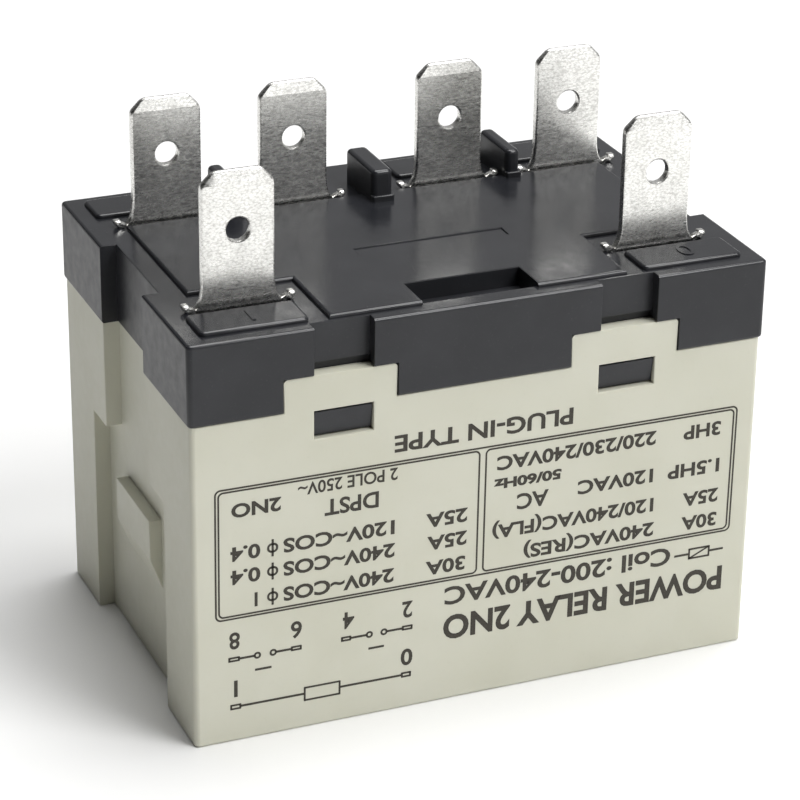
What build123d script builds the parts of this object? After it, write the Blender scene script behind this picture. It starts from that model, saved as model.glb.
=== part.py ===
from build123d import *
import math
import os

# Plug in power relay: a cup-shaped case, a terminal base that snaps into it, six quick-connect
# tabs and, sealed inside, a clapper magnet that lifts two bridge contacts.
# X runs across the label face, Y from front to back, Z up to the tabs. Origin: centre of the foot.

# ---- case (mm) ----
case_width = 52.5
case_depth = 34.7
case_top = 30.2
wall = 1.5
case_corner = 0.9
channel_depth = 1.48          # bracket channel in each end wall
channel_low = 9.9             # half width of the channel under its shoulders
channel_high = 6.1            # half width between the shoulders
shoulder_z = 20.05
catch_half = 4.65             # bracket catch in the channel
catch_out = 1.13
catch_z = (8.8, 11.8, 15.65)  # wedge foot, wedge head, ledge
tongue_x = 13.05              # two tongues on the front wall and two on the back
tongue_half = 5.05
tongue_top = 33.2
tongue_thick = 1.3
window_half = 2.65
window_z = (27.4, 29.95)
tongue_round = 0.4
cradle_half = 0.8             # two ribs on the case floor that hold the bobbin
cradle_top = 1.9
past = 1.0                    # how far a cutter runs past a face
bite = 0.2                    # how far joined solids run into each other

# ---- terminal base ----
base_width = 52.86
base_depth = 35.06
base_top = 37.5
base_corner = 0.9
base_edge = 0.35
base_channel = 5.8            # half width of the channel in each end
roof = 2.3
hollow_x = 21.9
hollow_y = 14.3
skirt = 4.5                   # how far the base plugs into the case
fit_gap = 0.1
lug_half = 2.55
lug_z = (27.5, 29.5)
lug_out = (16.4, 17.0)        # reach of the snap lug at its foot and its head
relief_x = (-2.4, 2.9)        # channel over each tongue, from the tongue's middle
relief_depth = 1.1
relief_low = 33.9
plateau_rise = 0.35
plateau_x = 23.0
plateau_y = (-7.4, 8.85)
apron_x = 13.6
apron_y = -16.1
pocket_x = 5.3                # pry pocket in the front of the plateau
pocket_y = (-15.7, -12.0)
pocket_z = 36.1
plate_x = (-6.4, 7.6)         # shallow blank plate in the plateau
plate_y = (-4.85, -3.2)
plate_deep = 0.12
pad_x = 20.0                  # raised number pads
pad_half = (4.75, 2.1)
pad_corner = 0.5
pad_y = (-13.9, 14.0)
inner_pad_x = 7.55
inner_pad_half = 3.6
middle_rib_x = 0.35           # barrier between the two poles
rib_y = (6.6, 13.2)
rib_half = 1.0
rib_height = 40.7
side_ribs_x = (-13.0, 13.8)    # barriers between the tabs of one pole
side_rib_y = (8.0, 14.3)
side_rib_half = 0.68
side_rib_height = 40.4
rib_round = 0.4
rib_foot = 0.35               # small foot at the front of each barrier
rib_foot_side = 0.05
rib_foot_rise = 0.9

# ---- quick-connect tabs ----
tab_width = 6.35
tab_thick = 0.8
tab_bevel = 1.1
tab_edge = 0.42               # thickness left at the bevelled tip
tab_tip = 4.2                 # width of the tip between its clipped corners
tab_hole = 2.1
hole_down = 5.2               # hole centre below the tip
stem_half = 3.85
flare_top = 39.1
ear_x = 4.35
ear_size = (1.15, 0.7, 1.5)
ear_twist = 35
ear_tilt = 14
ear_middle = 0.55             # above the base's top
trench_half = (5.1, 0.75)     # shallow trench round each tab
trench_deep = 0.45
flare_radius = 1.9
contact_y = 9.3               # front face of the contact tabs
contact_tip = 49.1
coil_y = -10.9                # front face of the coil tabs
coil_tip = 49.5
coil_tabs_x = {"1": -19.6, "0": 18.75}
tabs_x = {"8": -19.0, "6": -7.15, "4": 7.95, "2": 19.8}

# ---- contacts ----
mech_y = 1.5                  # the mechanism's own centre line
arm_half = 2.9
roof_z = base_top - roof
rivet_radius = 2.6
rivet_head = 1.2
rivet_round = 0.4
moving_radius = 2.3
bar_corner = 1.2
shank_radius = 1.5
contact_gap = 3.0
overtravel = 0.8
bar_thick = 1.0
bar_half_y = 3.0
bar_over = 3.0                # bar past the rivet centre
pole_x = 13.475
span_half = 5.0               # from the middle of a pole to each of its contacts
contacts_x = {
    "8": -pole_x - span_half,
    "6": span_half - pole_x,
    "4": pole_x - span_half,
    "2": pole_x + span_half,
}
fixed_low = roof_z - tab_thick - rivet_head
moving_top = fixed_low - contact_gap
bar_top = moving_top - rivet_head
bar_low = bar_top - bar_thick
travel = contact_gap + overtravel

# ---- carrier and springs ----
contact_spring = 4.0          # height of each contact spring
contact_coil = (1.75, 0.4, 4)  # radius, wire and turns
spigot_radius = 1.2           # spigot inside each contact spring
spigot_rise = 1.2
beam_top = bar_low - contact_spring
beam_thick = 2.2
beam_low = beam_top - beam_thick
beam_x = 16.4
beam_half_y = 2.6
cage_half_x = 1.5
cage_in_y = 3.35
cage_wall = 1.2
cage_bridge = 1.6
post_half = 3.3
post_rise = 5.0
post_top = beam_top + post_rise
post_bore = 2.9
return_coil = (2.3, 0.45, 7)
guide_gap = 0.2
guide_wall = 0.8
guide_half_y = 6.0
guide_low = 28.2
leg_radius = 1.2              # two legs of the base press on the yoke
leg_out = 6.2

# ---- magnet ----
yoke_top = 19.9
yoke_thick = 1.8
yoke_left = -16.0
yoke_end = 13.4
yoke_half_y = 7.0
yoke_drop = 6.5               # below the magnet's axis
magnet_z = 9.9
core_radius = 3.5
neck_radius = 2.4
ring_radii = (1.8, 2.8)       # shading ring in the pole face
ring_deep = 1.1
ring_thick = 0.9
bobbin_x = (-14.15, 12.2)
flange_thick = 1.2
flange_z = 8.0
flange_y = 8.4
tube_radius = 4.5
winding_radius = 7.3
tape_thick = 0.2
slip = 0.04                   # clearance between the magnet's nested parts
hinge_x = 13.5
hinge_z = 20.0
leaf_thick = 1.6
leaf_half_y = 6.5
arm_neck = 4.0                # the arm is narrower between here and its tip
leaf_drop = 16.4
leaf_gap = 0.1
tip_half_y = 3.2
lug_deep = 1.6                # lugs on the bobbin's flanges that hold the pins
lug_high = 1.1
pin_radius = 0.4
pin_root = mech_y - flange_y + 1.0
pin_end = mech_y - flange_y - 4.2
lead_radius = 0.45
lead_gap = 0.02
lead_loop = 2.0
lead_rise = (0.3, 1.2)
lead_bend = 0.6
pin_z = 16.6
coil_foot_z = 22.5
coil_foot_half = 1.5


def span_box(x, y, z):
    size = (x[1] - x[0], y[1] - y[0], z[1] - z[0])
    middle = ((x[0] + x[1]) / 2, (y[0] + y[1]) / 2, (z[0] + z[1]) / 2)
    return Pos(*middle) * Box(*size)


def mid_box(cx, half_x, cy, half_y, z):
    return span_box((cx - half_x, cx + half_x), (cy - half_y, cy + half_y), z)


def rod_x(radius, x, y, z):
    return Pos((x[0] + x[1]) / 2, y, z) * Rot(0, 90, 0) * Cylinder(radius, x[1] - x[0])


def rod_y(radius, x, y, z):
    return Pos(x, (y[0] + y[1]) / 2, z) * Rot(90, 0, 0) * Cylinder(radius, y[1] - y[0])


def rod_z(radius, x, y, z):
    return Pos(x, y, (z[0] + z[1]) / 2) * Cylinder(radius, z[1] - z[0])


def side_profile(points, half):
    # an outline in X and Z, carried the same distance to both sides in Y
    return extrude(Plane.XZ * make_face(Polyline(*points, close=True)), half, both=True)


def end_profile(points, half):
    # an outline in Y and Z, carried the same distance to both sides in X
    return extrude(Plane.YZ * make_face(Polyline(*points, close=True)), half, both=True)


def turned(shape):
    # the same shape seen from the other side of the part
    return Rot(0, 0, 180) * shape


# ---- case ----

def make_case():
    half_x = case_width / 2
    half_y = case_depth / 2
    inner_y = half_y - wall
    body = extrude(RectangleRounded(case_width, case_depth, case_corner), case_top)
    narrow = half_x - channel_depth - wall
    body -= span_box((-narrow, narrow), (-inner_y, inner_y), (wall, case_top))
    for y in ((channel_low + wall, inner_y), (-inner_y, -channel_low - wall)):
        body -= span_box((wall - half_x, half_x - wall), y, (wall, case_top))
    for side in range(2):
        body = turned(add_tongues(cut_channel(body)))
    for x in bobbin_x:
        body += mid_box(x, cradle_half, mech_y, flange_y - past, (wall, cradle_top))
    return body


def cut_channel(body):
    # bracket channel in the left wall, wider below its shoulders, with the catch standing in it
    outside = case_width / 2
    deep = outside - channel_depth
    body -= span_box((-outside - past, -deep), (-channel_low, channel_low), (-past, shoulder_z))
    upper = (shoulder_z - past, case_top + past)
    body -= span_box((-outside - past, -deep), (-channel_high, channel_high), upper)
    foot, head, ledge = catch_z
    out = deep + catch_out
    root = deep - bite
    outline = [(-root, foot), (-deep, foot), (-out, head), (-out, ledge), (-root, ledge)]
    return body + side_profile(outline, catch_half)


def add_tongues(body):
    front = -case_depth / 2
    for x in (-tongue_x, tongue_x):
        middle = front + tongue_thick / 2
        tongue = mid_box(x, tongue_half, middle, tongue_thick / 2, (case_top - past, tongue_top))
        corners = tongue.edges().filter_by(Axis.Y).sort_by(Axis.Z)[-2:]
        body += fillet(corners, tongue_round)
        body -= mid_box(x, window_half, front, wall + past, window_z)
    return body


# ---- terminal base ----

def make_base():
    body = Pos(0, 0, case_top) * extrude(
        RectangleRounded(base_width, base_depth, base_corner), base_top - case_top)
    rims = body.faces().sort_by(Axis.Z)
    body = fillet(rims[0].edges() + rims[-1].edges(), base_edge)
    narrow = case_width / 2 - channel_depth - wall - fit_gap
    plug_y = case_depth / 2 - wall - fit_gap
    low = case_top - skirt
    body += span_box((-narrow, narrow), (-plug_y, plug_y), (low, case_top + bite))
    body -= span_box((-hollow_x, hollow_x), (-hollow_y, hollow_y), (low - past, roof_z))
    for side in range(2):
        body = turned(snap_side(body))
    body += raised_top()
    body -= pry_pocket()
    body += inner_guides()
    for x in tabs_x.values():
        body -= terminal_slot(x, contact_y)
    for x in coil_tabs_x.values():
        body -= terminal_slot(x, coil_y)
    return body


def snap_side(body):
    # left end channel, and on the front the tongue seats, the reliefs over them and the snap lugs
    outside = base_width / 2
    front = -base_depth / 2
    seat = -case_depth / 2 + tongue_thick + fit_gap / 2
    deep = outside - channel_depth
    full = (case_top - past, base_top + past)
    body -= span_box((-outside - past, -deep), (-base_channel, base_channel), full)
    plug_y = case_depth / 2 - wall - fit_gap
    for x in (-tongue_x, tongue_x):
        seat_top = tongue_top + fit_gap / 2
        body -= mid_box(x, tongue_half + fit_gap / 2, front, seat - front, (case_top, seat_top))
        relief = (x + relief_x[0], x + relief_x[1])
        body -= span_box(relief, (front - past, seat), (case_top, relief_low))
        body -= span_box(relief, (front - past, front + relief_depth), (relief_low - bite, base_top + past))
        root, low, head = bite - plug_y, lug_z[0], lug_z[1]
        lug = [(root, low), (-lug_out[0], low), (-lug_out[1], head), (root, head)]
        body += Pos(x, 0, 0) * end_profile(lug, lug_half)
    return body


def raised_top():
    # plateau, number pads and barriers, all a little above the base's own top face
    low = base_top - bite
    high = base_top + plateau_rise
    top = span_box((-plateau_x, plateau_x), plateau_y, (low, high))
    top += span_box((-apron_x, apron_x), (apron_y, plateau_y[0] + bite), (low, high))
    for x in (-pad_x, pad_x):
        for y in pad_y:
            top += rounded_pad(x, y, pad_half[0])
    for x in (-inner_pad_x, inner_pad_x):
        top += rounded_pad(x, pad_y[1], inner_pad_half)
    top += barrier(middle_rib_x, rib_half, rib_y, rib_height)
    for x in side_ribs_x:
        top += barrier(x, side_rib_half, side_rib_y, side_rib_height)
    return top


def rounded_pad(x, y, half_x):
    outline = RectangleRounded(2 * half_x, 2 * pad_half[1], pad_corner)
    return Pos(x, y, base_top - bite) * extrude(outline, bite + plateau_rise)


def barrier(x, half, y, top):
    rib = span_box((x - half, x + half), y, (base_top - bite, top))
    rib = fillet(rib.edges().filter_by(Axis.Z), rib_round)
    foot = mid_box(x, half + rib_foot_side, y[0], rib_foot, (base_top - bite, base_top + rib_foot_rise))
    return rib + foot


def pry_pocket():
    high = base_top + past
    mouth = span_box((-pocket_x, pocket_x), (apron_y - bite, pocket_y[1]), (base_top, high))
    well = span_box((-pocket_x, pocket_x), pocket_y, (pocket_z, high))
    plate = span_box(plate_x, plate_y, (base_top + plateau_rise - plate_deep, high))
    return mouth + well + plate


def inner_guides():
    # walls that guide the carrier's post and part the two poles, and two legs that hold the yoke
    guides = Part()
    near = post_half + guide_gap
    for side in (-1, 1):
        x = side * (near + guide_wall / 2)
        guides += mid_box(x, guide_wall / 2, mech_y, guide_half_y, (guide_low, roof_z + bite))
        guides += rod_z(leg_radius, -pole_x, mech_y + side * leg_out, (yoke_top, roof_z + bite))
    return guides


def terminal_slot(x, y):
    middle = y + tab_thick / 2
    high = base_top + past
    slot = mid_box(x, stem_half + slip, middle, tab_thick / 2 + slip, (roof_z - past, high))
    trench = mid_box(x, trench_half[0], middle, trench_half[1], (base_top - trench_deep, high))
    return slot + trench


# ---- terminals ----

def tab_blade(x, y, tip):
    # front outline crossed with the side outline that gives the bevelled tip
    half = tab_width / 2
    foot = (stem_half, base_top + fit_gap)
    neck = (half, flare_top)
    side = Line((stem_half, roof_z), foot) + RadiusArc(foot, neck, flare_radius)
    side += Polyline(neck, (half, tip - tab_bevel), (tab_tip / 2, tip))
    outline = side + mirror(side, Plane.YZ)
    outline += Line((-tab_tip / 2, tip), (tab_tip / 2, tip)) + Line((-stem_half, roof_z), (stem_half, roof_z))
    front = extrude(Plane.XZ * make_face(outline), tab_thick + past, both=True)
    inset = (tab_thick - tab_edge) / 2
    low = roof_z - past
    edge = [(0, low), (0, tip - tab_bevel), (inset, tip), (tab_thick - inset, tip),
            (tab_thick, tip - tab_bevel), (tab_thick, low)]
    blade = front & end_profile(edge, stem_half + past)
    blade -= rod_y(tab_hole / 2, 0, (-past, tab_thick + past), tip - hole_down)
    for turn in (-1, 1):
        spot = Pos(turn * ear_x, tab_thick / 2, base_top + ear_middle)
        spot *= Rot(0, turn * ear_tilt, turn * ear_twist)
        blade += spot * Box(*ear_size)
    return Pos(x, y, 0) * blade


def contact_terminal(tab_x, spot):
    # tab, and an arm under the roof that carries the fixed contact
    y = (mech_y - arm_half, contact_y + tab_thick)
    arm = span_box((spot - arm_half, spot + arm_half), y, (roof_z - tab_thick, roof_z))
    terminal = tab_blade(tab_x, contact_y, contact_tip) + arm
    return terminal - rod_z(shank_radius, spot, mech_y, (roof_z - tab_thick - past, roof_z + past))


def fixed_contact(x):
    head = rod_z(rivet_radius, x, mech_y, (fixed_low, fixed_low + rivet_head))
    head = fillet(head.edges().sort_by(Axis.Z)[0], rivet_round)
    return head + rod_z(shank_radius - slip, x, mech_y, (fixed_low + rivet_head, roof_z))


def coil_terminal(x):
    foot = mid_box(x, coil_foot_half, coil_y + tab_thick / 2, tab_thick / 2, (coil_foot_z, roof_z))
    return tab_blade(x, coil_y, coil_tip) + foot


# ---- moving contacts ----

def bridge_bar(x):
    bar = mid_box(x, span_half + bar_over, mech_y, bar_half_y, (bar_low, bar_top))
    bar = fillet(bar.edges().filter_by(Axis.Z), bar_corner)
    for spot in (x - span_half, x + span_half):
        bar -= rod_z(shank_radius, spot, mech_y, (bar_low - past, bar_top + past))
    return bar


def moving_contacts(x):
    pair = []
    for spot in (x - span_half, x + span_half):
        head = rod_z(moving_radius, spot, mech_y, (bar_top, moving_top))
        head = fillet(head.edges().sort_by(Axis.Z)[-1], rivet_round)
        pair.append(head + rod_z(shank_radius - slip, spot, mech_y, (bar_low, bar_top)))
    return Compound(children=pair)


def make_carrier():
    body = mid_box(0, beam_x, mech_y, beam_half_y, (beam_low, beam_top))
    for x in (-pole_x, pole_x):
        body += mid_box(x, cage_half_x, mech_y, cage_in_y + cage_wall, (beam_low, bar_top + cage_bridge))
        body -= mid_box(x, cage_half_x + past, mech_y, cage_in_y, (beam_top, bar_top))
        body += rod_z(spigot_radius, x, mech_y, (beam_top - bite, beam_top + spigot_rise))
    body += mid_box(0, post_half, mech_y, post_half, (beam_low, post_top))
    body -= rod_z(post_bore, 0, mech_y, (beam_top, post_top + past))
    return body


def helix_spring(x, low, high, coil):
    radius, wire, turns = coil
    height = high - low - wire
    path = Helix(height / turns, height, radius)
    section = Plane(path @ 0, z_dir=path % 0) * Circle(wire / 2)
    return Pos(x, mech_y, low + wire / 2) * sweep(section, path, is_frenet=True)


# ---- magnet ----

def make_bobbin():
    left, right = bobbin_x
    body = rod_x(tube_radius, (left, right), mech_y, magnet_z)
    for x in ((left, left + flange_thick), (right - flange_thick, right)):
        y = (mech_y - flange_y, mech_y + flange_y)
        body += span_box(x, y, (magnet_z - flange_z, magnet_z + flange_z))
        body += span_box(x, (y[0] - lug_deep, y[0]), (pin_z - lug_high, pin_z + lug_high))
    body -= rod_x(core_radius + slip, (left - past, right + past), mech_y, magnet_z)
    for x in pin_places():
        body -= rod_y(pin_radius + slip, x, (mech_y - flange_y - lug_deep - past, pin_root), pin_z)
    return body


def pin_places():
    return (bobbin_x[0] + flange_thick / 2, bobbin_x[1] - flange_thick / 2)


def make_winding():
    x = (bobbin_x[0] + flange_thick + slip, bobbin_x[1] - flange_thick - slip)
    coil = rod_x(winding_radius, x, mech_y, magnet_z)
    return coil - rod_x(tube_radius + slip, (x[0] - past, x[1] + past), mech_y, magnet_z)


def make_tape():
    x = (bobbin_x[0] + flange_thick + slip, bobbin_x[1] - flange_thick - slip)
    inner = winding_radius + slip
    wrap = rod_x(inner + tape_thick, x, mech_y, magnet_z)
    return wrap - rod_x(inner, (x[0] - past, x[1] + past), mech_y, magnet_z)


def make_core():
    plate = yoke_left + yoke_thick
    body = rod_x(core_radius, (plate, yoke_end), mech_y, magnet_z)
    body += rod_x(neck_radius, (yoke_left - bite, plate), mech_y, magnet_z)
    return body - shading_groove(0)


def shading_groove(gap):
    # round groove in the pole face that takes the shading ring
    x = (yoke_end - ring_deep, yoke_end + past)
    outer = rod_x(ring_radii[1] - gap, x, mech_y, magnet_z)
    return outer - rod_x(ring_radii[0] + gap, x, mech_y, magnet_z)


def make_shading_ring():
    deep = yoke_end - ring_deep + fit_gap
    inside = mid_box(deep + ring_thick / 2, ring_thick / 2, mech_y, core_radius, (0, yoke_top))
    return shading_groove(slip) & inside


def make_yoke():
    y = (mech_y - yoke_half_y, mech_y + yoke_half_y)
    body = span_box((yoke_left, yoke_left + yoke_thick), y, (magnet_z - yoke_drop, yoke_top))
    body += span_box((yoke_left, yoke_end), y, (yoke_top - yoke_thick, yoke_top))
    x = (yoke_left - past, yoke_left + yoke_thick + past)
    return body - rod_x(neck_radius + slip, x, mech_y, magnet_z)


def swing_angle():
    # how far the armature turns to lift the carrier by its whole travel
    reach = hinge_x
    lift = leaf_thick + leaf_gap
    angle = travel / reach
    for step in range(20):
        risen = reach * math.sin(angle) - lift * (1 - math.cos(angle))
        angle += (travel - risen) / reach
    return math.degrees(angle)


def make_armature():
    # arm over the yoke, leg hanging before the pole, drawn in the open place
    low = hinge_z + leaf_gap
    wide = (mech_y - leaf_half_y, mech_y + leaf_half_y)
    arm = span_box((arm_neck, hinge_x), wide, (low, low + leaf_thick))
    arm += span_box((0, arm_neck + bite), (mech_y - tip_half_y, mech_y + tip_half_y), (low, low + leaf_thick))
    opened = Pos(hinge_x, 0, hinge_z) * Rot(0, -swing_angle(), 0)
    leg = opened * span_box((leaf_gap, leaf_gap + leaf_thick), wide, (-leaf_drop, 0))
    knee = rod_y(leaf_gap + leaf_thick, hinge_x, wide, hinge_z)
    knee -= rod_y(leaf_gap, hinge_x, (wide[0] - past, wide[1] + past), hinge_z)
    clear = span_box((-leaf_drop, leaf_gap), (wide[0] - past, wide[1] + past), (-leaf_drop, leaf_gap))
    knee -= Pos(hinge_x - leaf_gap, 0, hinge_z) * clear
    knee -= opened * clear
    return arm + leg + knee


# ---- coil leads ----

def make_pins():
    return Compound(children=[rod_y(pin_radius, x, (pin_end, pin_root), pin_z) for x in pin_places()])


def coil_lead(pin_x, tab_x):
    start = (pin_x, pin_end - lead_gap, pin_z)
    foot = (tab_x, coil_y + tab_thick / 2, coil_foot_z - lead_gap)
    bend = (pin_x, foot[1] - lead_loop, pin_z)
    below = (tab_x, foot[1], pin_z + lead_rise[1])
    out = ((pin_x + tab_x) / 2, foot[1] - lead_loop, pin_z + lead_rise[0])
    path = FilletPolyline(start, bend, out, below, foot, radius=lead_bend)
    section = Plane(path @ 0, z_dir=path % 0) * Circle(lead_radius)
    return sweep(section, path)


def build_parts():
    parts = {"case": make_case(), "terminal_base": make_base()}
    for name, x in tabs_x.items():
        parts["contact_terminal_" + name] = contact_terminal(x, contacts_x[name])
    for name, x in coil_tabs_x.items():
        parts["coil_terminal_" + name] = coil_terminal(x)
    parts["fixed_contacts"] = Compound(children=[fixed_contact(x) for x in contacts_x.values()])
    for name, x in (("left", -pole_x), ("right", pole_x)):
        parts["bridge_bar_" + name] = bridge_bar(x)
        parts["moving_contacts_" + name] = moving_contacts(x)
        parts["contact_spring_" + name] = helix_spring(x, beam_top, bar_low, contact_coil)
    parts["contact_carrier"] = make_carrier()
    parts["return_spring"] = helix_spring(0, beam_top, roof_z, return_coil)
    parts["bobbin"] = make_bobbin()
    parts["winding"] = make_winding()
    parts["coil_tape"] = make_tape()
    parts["core"] = make_core()
    parts["shading_ring"] = make_shading_ring()
    parts["yoke"] = make_yoke()
    parts["armature"] = make_armature()
    parts["coil_pins"] = make_pins()
    left_pin, right_pin = pin_places()
    parts["coil_lead_1"] = coil_lead(left_pin, coil_tabs_x["1"])
    parts["coil_lead_0"] = coil_lead(right_pin, coil_tabs_x["0"])
    return parts


os.makedirs("parts", exist_ok=True)
for name, shape in build_parts().items():
    export_step(shape, "parts/" + name + ".step")
print("travel", travel, "swing", round(swing_angle(), 3))
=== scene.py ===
import bpy
import bmesh
import math
from mathutils import Matrix, Vector


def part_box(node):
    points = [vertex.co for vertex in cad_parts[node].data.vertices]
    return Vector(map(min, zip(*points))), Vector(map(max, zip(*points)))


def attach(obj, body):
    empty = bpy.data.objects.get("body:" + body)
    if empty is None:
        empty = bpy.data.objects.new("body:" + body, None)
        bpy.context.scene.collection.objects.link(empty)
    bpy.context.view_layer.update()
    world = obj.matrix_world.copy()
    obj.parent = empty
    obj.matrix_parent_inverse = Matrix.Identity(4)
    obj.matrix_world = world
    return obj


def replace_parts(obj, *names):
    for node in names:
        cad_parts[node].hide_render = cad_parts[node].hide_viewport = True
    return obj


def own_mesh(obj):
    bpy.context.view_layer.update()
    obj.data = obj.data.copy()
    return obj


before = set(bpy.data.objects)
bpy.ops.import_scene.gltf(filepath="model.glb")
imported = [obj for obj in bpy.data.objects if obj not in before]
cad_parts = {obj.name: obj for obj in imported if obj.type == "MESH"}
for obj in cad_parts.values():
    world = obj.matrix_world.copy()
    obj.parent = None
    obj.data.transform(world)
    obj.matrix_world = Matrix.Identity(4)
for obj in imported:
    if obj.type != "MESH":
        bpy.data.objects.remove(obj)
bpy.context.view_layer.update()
print("frame loaded,", len(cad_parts), "nodes")

mm = 0.001
past = 1.0                           # how far a cutter runs past a face, mm
bite = 0.2                           # how far joined blocks run into each other, mm
near = 0.001                         # closer than this is the same height, mm
sharp = math.radians(38)             # edges steeper than this stay crisp


def mmBox(node):
    low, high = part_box(node)
    return low / mm, high / mm


caseLow, caseHigh = mmBox("case")
baseLow, baseHigh = mmBox("terminal_base")


# shapes are drawn in millimetres and scaled once, when they become a piece

def move(made, by):
    bmesh.ops.translate(made, vec=by, verts=made.verts)


def stretch(made, by):
    bmesh.ops.scale(made, vec=by, verts=made.verts)


def turnOver(made, degrees, axis):
    turn = Matrix.Rotation(math.radians(degrees), 3, axis)
    bmesh.ops.rotate(made, cent=(0, 0, 0), matrix=turn, verts=made.verts)


def grow(made, faces, keep=False):
    # extrudes faces in place, and gives the new corners and the new faces
    grown = bmesh.ops.extrude_face_region(made, geom=faces, use_keep_orig=keep)["geom"]
    verts = [g for g in grown if isinstance(g, bmesh.types.BMVert)]
    return verts, [g for g in grown if isinstance(g, bmesh.types.BMFace)]


def around(middle, half):
    return middle - half, middle + half


def block(x, y, z):
    made = bmesh.new()
    bmesh.ops.create_cube(made, size=1.0)
    stretch(made, (x[1] - x[0], y[1] - y[0], z[1] - z[0]))
    move(made, ((x[0] + x[1]) / 2, (y[0] + y[1]) / 2, (z[0] + z[1]) / 2))
    return made


def midBlock(cx, halfX, cy, halfY, z):
    return block(around(cx, halfX), around(cy, halfY), z)


def plate(points, along, span):
    # a flat outline, given in the two other axes, carried along one axis
    made = bmesh.new()
    spots = []
    for a, b in points:
        spot = [a, b]
        spot.insert("xyz".index(along), span[0])
        spots.append(made.verts.new(spot))
    face = made.faces.new(spots)
    step = Vector((0, 0, 0))
    step["xyz".index(along)] = span[1] - span[0]
    bmesh.ops.translate(made, vec=step, verts=grow(made, [face])[0])
    bmesh.ops.recalc_face_normals(made, faces=made.faces)
    return made


def rod(along, radius, centre, span, sides=40):
    # a round bar along Y or Z
    made = bmesh.new()
    bmesh.ops.create_cone(made, cap_ends=True, segments=sides, radius1=radius, radius2=radius,
                          depth=span[1] - span[0])
    if along == "y":
        turnOver(made, 90, "X")
    spot = list(centre)
    spot.insert("xyz".index(along), (span[0] + span[1]) / 2)
    move(made, spot)
    return made


def runsAlong(edge, axis):
    way = (edge.verts[1].co - edge.verts[0].co).normalized()
    return abs(way["xyz".index(axis)]) > 0.98


def middleOf(edge):
    return (edge.verts[0].co + edge.verts[1].co) / 2


def roundOff(made, edges, width, segments=4):
    bmesh.ops.bevel(made, geom=edges, offset=width, offset_type="OFFSET", segments=segments,
                    profile=0.5, affect="EDGES", clamp_overlap=True, material=-1)
    return made


def roundUprights(made, width, segments=4):
    return roundOff(made, [e for e in made.edges if runsAlong(e, "z")], width, segments)


def roundTop(made, width, segments=3):
    top = max(v.co.z for v in made.verts)
    return roundOff(made, [e for e in made.edges if middleOf(e).z > top - near], width, segments)


def padBlock(cx, halfX, cy, halfY, z, corner, edge):
    made = roundUprights(midBlock(cx, halfX, cy, halfY, z), corner)
    return roundTop(made, edge)


def tidy(made):
    bmesh.ops.remove_doubles(made, verts=made.verts, dist=0.0005)
    bmesh.ops.dissolve_degenerate(made, dist=0.0005, edges=made.edges)
    bmesh.ops.dissolve_limit(made, angle_limit=math.radians(0.4), use_dissolve_boundaries=False,
                             verts=made.verts, edges=made.edges, delimit=set())
    return made


def combine(made, others, how):
    # several exact booleans in one evaluation
    mesh = bpy.data.meshes.new("work")
    made.to_mesh(mesh)
    made.free()
    work = bpy.data.objects.new("work", mesh)
    bpy.context.scene.collection.objects.link(work)
    helpers = []
    for other in others:
        otherMesh = bpy.data.meshes.new("tool")
        other.to_mesh(otherMesh)
        other.free()
        helper = bpy.data.objects.new("tool", otherMesh)
        bpy.context.scene.collection.objects.link(helper)
        helpers.append(helper)
        change = work.modifiers.new("change", "BOOLEAN")
        change.operation = how
        change.solver = "EXACT"
        change.object = helper
    bpy.context.view_layer.update()
    result = bmesh.new()
    result.from_object(work, bpy.context.evaluated_depsgraph_get())
    for helper in helpers + [work]:
        old = helper.data
        bpy.data.objects.remove(helper)
        bpy.data.meshes.remove(old)
    return tidy(result)


def breakEdges(made, width, shortest=0.5, least=60):
    # every crisp outer edge gets the small radius that moulding and stamping leave
    edges = []
    for edge in made.edges:
        if len(edge.link_faces) != 2 or edge.calc_length() < shortest:
            continue
        if edge.calc_face_angle_signed() >= math.radians(least):
            edges.append(edge)
    bmesh.ops.bevel(made, geom=edges, offset=width, offset_type="OFFSET", segments=2,
                    profile=0.5, affect="EDGES", clamp_overlap=False, material=-1)
    return made


def link(piece, body):
    bpy.context.scene.collection.objects.link(piece)
    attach(piece, body)
    return piece


def isFlat(face):
    # the broad faces shade flat, and only curves and rounded edges shade smooth
    if max(abs(n) for n in face.normal) > 0.9999:
        return True
    area = face.calc_area()
    return area > 0.8 and area > 0.012 * face.calc_perimeter() ** 2


def makePiece(name, made, materials, body):
    bmesh.ops.remove_doubles(made, verts=made.verts, dist=0.0002)
    made.faces.index_update()
    smooth = [not isFlat(face) for face in made.faces]
    stretch(made, (mm, mm, mm))
    mesh = bpy.data.meshes.new(name)
    made.to_mesh(mesh)
    made.free()
    mesh.set_sharp_from_angle(angle=sharp)
    mesh.polygons.foreach_set("use_smooth", smooth)
    for material in materials:
        mesh.materials.append(material)
    piece = bpy.data.objects.new(name, mesh)
    return link(piece, body)


print("materials")


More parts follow.
